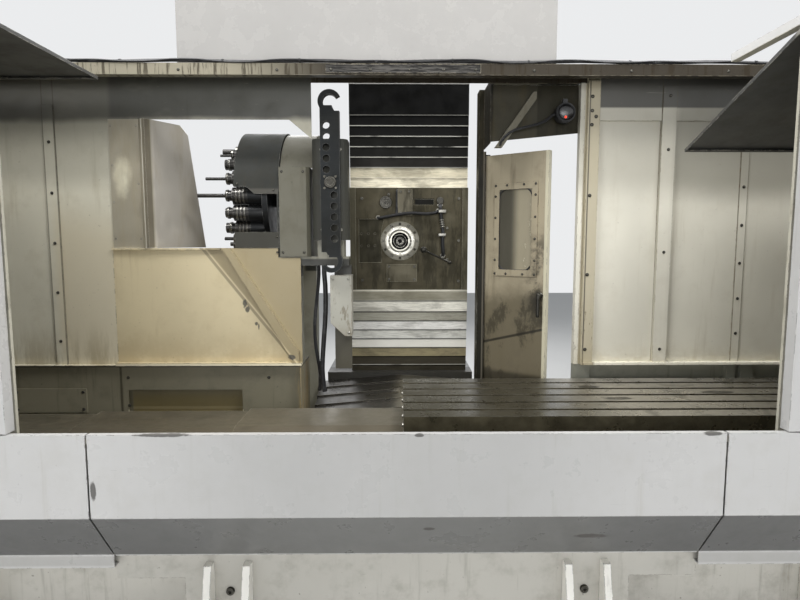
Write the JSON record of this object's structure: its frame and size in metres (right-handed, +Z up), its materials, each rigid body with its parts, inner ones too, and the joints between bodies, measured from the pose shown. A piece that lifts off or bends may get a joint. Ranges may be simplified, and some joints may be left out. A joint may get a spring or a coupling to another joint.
{
  "type": "cnc machining center",
  "caption": "Horizontal machining center with a long T-slot table, travelling column, telescopic way covers, tool-change arm, drum magazine and a sliding-door enclosure.",
  "frame": {"origin": "on the floor, under the middle of the machine's outline; the spindle axis lies over X = 0", "axes": "+X to the operator's right along the table, +Y away from the operator along the spindle, +Z up"},
  "size_m": [5.1, 3.2, 2.75],
  "materials": {
    "white_paint": "semi-gloss, chipped at edges",
    "grey_casting": "painted casting",
    "wall_beige": "aged paint with coolant stains",
    "chute_beige": "yellowed paint",
    "lower_grey": "stained paint",
    "dark_panel": "satin",
    "stainless": "brushed",
    "beam_paint": "stained paint",
    "cable_black": "matt",
    "lamp_black": "satin",
    "cover_steel": "oiled sheet",
    "head_cover_steel": "oiled sheet",
    "table_iron": "ground, oily",
    "ground_steel": "ground",
    "column_paint": "painted casting",
    "head_olive": "oil-stained plate",
    "motor_black": "satin",
    "changer_grey": "satin",
    "guard_dark": "satin",
    "guard_light": "satin",
    "arm_steel": "blackened steel",
    "drum_dark": "satin",
    "tool_steel": "blackened",
    "splash_white": "satin",
    "flap_dark": "satin",
    "door_cream": "semi-gloss",
    "service_grey": "aged paint",
    "window_glass": "clear, dirty",
    "foot_steel": "oiled"
  },
  "bodies": {
    "base": {"bed": "grey_casting", "leveling_feet": "foot_steel", "front_apron": "white_paint", "side_aprons": "white_paint", "apron_gussets": "white_paint", "door_sill": "lower_grey", "end_walls": "white_paint", "left_wall": "wall_beige", "window_panel": "stainless", "chute_panel": "chute_beige", "lower_left_panel": "lower_grey", "right_wall": "wall_beige", "lower_right_panel": "dark_panel", "roof_beam": "beam_paint", "top_panel": "white_paint", "cable_bundle": "cable_black", "right_hood": "dark_panel", "work_lamp": "lamp_black", "lamp_cable": "cable_black", "x_cover_fixed_leaves": "cover_steel", "z_cover_front": "cover_steel", "feed_screws": "ground_steel", "magazine_frame": "dark_panel", "magazine_guard": "guard_dark", "box_guard": "guard_light", "arm_housing": "changer_grey", "splash_box": "splash_white", "hoses": "cable_black"},
    "table": {"table": "table_iron", "x_cover_table_leaves": "cover_steel"},
    "x_leaf_1": {"x_cover_1": "cover_steel"},
    "x_leaf_2": {"x_cover_2": "cover_steel"},
    "column": {"column": "column_paint", "z_cover_4": "cover_steel", "y_cover_column_leaves": "head_cover_steel", "column_screw": "ground_steel"},
    "z_leaf_1": {"z_cover_1": "cover_steel"},
    "z_leaf_2": {"z_cover_2": "cover_steel"},
    "z_leaf_3": {"z_cover_3": "cover_steel"},
    "head": {"spindle_head": "column_paint", "face_plate": "head_olive", "y_cover_head_leaves": "head_cover_steel", "spindle_motor": "motor_black"},
    "y_leaf_1": {"y_cover_1": "head_cover_steel"},
    "y_leaf_2": {"y_cover_2": "head_cover_steel"},
    "y_leaf_3": {"y_cover_3": "head_cover_steel"},
    "y_leaf_4": {"y_cover_4": "head_cover_steel"},
    "y_leaf_5": {"y_cover_5": "head_cover_steel"},
    "y_leaf_6": {"y_cover_6": "head_cover_steel"},
    "spindle": {"spindle": "ground_steel"},
    "arm_shaft": {"arm_shaft": "ground_steel"},
    "tool_arm": {"tool_arm": "arm_steel"},
    "magazine": {"magazine_drum": "drum_dark", "tools": "tool_steel"},
    "left_door": {"left_door": "door_cream"},
    "right_door": {"right_door": "door_cream"},
    "left_flap": {"left_roof_flap": "flap_dark"},
    "right_flap": {"right_roof_flap": "flap_dark"},
    "service_door": {"service_door": "service_grey", "service_window": "window_glass"}
  },
  "joints": [
    {"name": "table_slide", "type": "slide", "parent": "base", "child": "table", "axis": [1, 0, 0], "range_m": [-1.8, 0]},
    {"name": "x_leaf_1_slide", "type": "slide", "parent": "base", "child": "x_leaf_1", "axis": [1, 0, 0], "range_m": [-1.2, 0]},
    {"name": "x_leaf_2_slide", "type": "slide", "parent": "base", "child": "x_leaf_2", "axis": [1, 0, 0], "range_m": [-0.6, 0]},
    {"name": "column_slide", "type": "slide", "parent": "base", "child": "column", "axis": [0, 1, 0], "range_m": [-0.4, 0.04]},
    {"name": "z_leaf_1_slide", "type": "slide", "parent": "base", "child": "z_leaf_1", "axis": [0, 1, 0], "range_m": [-0.1, 0.01]},
    {"name": "z_leaf_2_slide", "type": "slide", "parent": "base", "child": "z_leaf_2", "axis": [0, 1, 0], "range_m": [-0.2, 0.02]},
    {"name": "z_leaf_3_slide", "type": "slide", "parent": "base", "child": "z_leaf_3", "axis": [0, 1, 0], "range_m": [-0.3, 0.03]},
    {"name": "head_slide", "type": "slide", "parent": "column", "child": "head", "axis": [0, 0, 1], "range_m": [-0.22, 0.32]},
    {"name": "y_leaf_1_slide", "type": "slide", "parent": "column", "child": "y_leaf_1", "axis": [0, 0, 1], "range_m": [-0.18857, 0.27429]},
    {"name": "y_leaf_2_slide", "type": "slide", "parent": "column", "child": "y_leaf_2", "axis": [0, 0, 1], "range_m": [-0.15714, 0.22857]},
    {"name": "y_leaf_3_slide", "type": "slide", "parent": "column", "child": "y_leaf_3", "axis": [0, 0, 1], "range_m": [-0.12571, 0.18286]},
    {"name": "y_leaf_4_slide", "type": "slide", "parent": "column", "child": "y_leaf_4", "axis": [0, 0, 1], "range_m": [-0.09429, 0.13714]},
    {"name": "y_leaf_5_slide", "type": "slide", "parent": "column", "child": "y_leaf_5", "axis": [0, 0, 1], "range_m": [-0.06286, 0.09143]},
    {"name": "y_leaf_6_slide", "type": "slide", "parent": "column", "child": "y_leaf_6", "axis": [0, 0, 1], "range_m": [-0.03143, 0.04571]},
    {"name": "spindle_spin", "type": "hinge", "parent": "head", "child": "spindle", "pos_m": [0, -0.118, 1.55], "axis": [0, -1, 0], "continuous": true},
    {"name": "arm_shaft_slide", "type": "slide", "parent": "base", "child": "arm_shaft", "axis": [0, -1, 0], "range_m": [0, 0.1]},
    {"name": "arm_swing", "type": "hinge", "parent": "arm_shaft", "child": "tool_arm", "pos_m": [-0.302, -0.69, 1.803], "axis": [0, 1, 0], "range_deg": [0, 270]},
    {"name": "magazine_spin", "type": "hinge", "parent": "base", "child": "magazine", "pos_m": [-0.6, -0.34, 1.756], "axis": [1, 0, 0], "continuous": true},
    {"name": "left_door_slide", "type": "slide", "parent": "base", "child": "left_door", "axis": [1, 0, 0], "range_m": [0, 1.15]},
    {"name": "right_door_slide", "type": "slide", "parent": "base", "child": "right_door", "axis": [-1, 0, 0], "range_m": [0, 1.15]},
    {"name": "left_flap_hinge", "type": "hinge", "parent": "left_door", "child": "left_flap", "pos_m": [-1.8, -1.53, 2.177], "axis": [1, 0, 0], "range_deg": [-20, 0]},
    {"name": "right_flap_hinge", "type": "hinge", "parent": "right_door", "child": "right_flap", "pos_m": [1.8, -1.53, 2.161], "axis": [1, 0, 0], "range_deg": [0, 20]},
    {"name": "service_door_hinge", "type": "hinge", "parent": "base", "child": "service_door", "pos_m": [0.425, -0.4, 1.41], "axis": [0, 0, 1], "range_deg": [-12, 38]}
  ],
  "couplings": [
    {"joint": "x_leaf_1_slide", "follows": "table_slide", "ratio": 0.66667},
    {"joint": "x_leaf_2_slide", "follows": "table_slide", "ratio": 0.33333},
    {"joint": "z_leaf_1_slide", "follows": "column_slide", "ratio": 0.25},
    {"joint": "z_leaf_2_slide", "follows": "column_slide", "ratio": 0.5},
    {"joint": "z_leaf_3_slide", "follows": "column_slide", "ratio": 0.75},
    {"joint": "y_leaf_1_slide", "follows": "head_slide", "ratio": 0.85714},
    {"joint": "y_leaf_2_slide", "follows": "head_slide", "ratio": 0.71429},
    {"joint": "y_leaf_3_slide", "follows": "head_slide", "ratio": 0.57143},
    {"joint": "y_leaf_4_slide", "follows": "head_slide", "ratio": 0.42857},
    {"joint": "y_leaf_5_slide", "follows": "head_slide", "ratio": 0.28571},
    {"joint": "y_leaf_6_slide", "follows": "head_slide", "ratio": 0.14286}
  ]
}
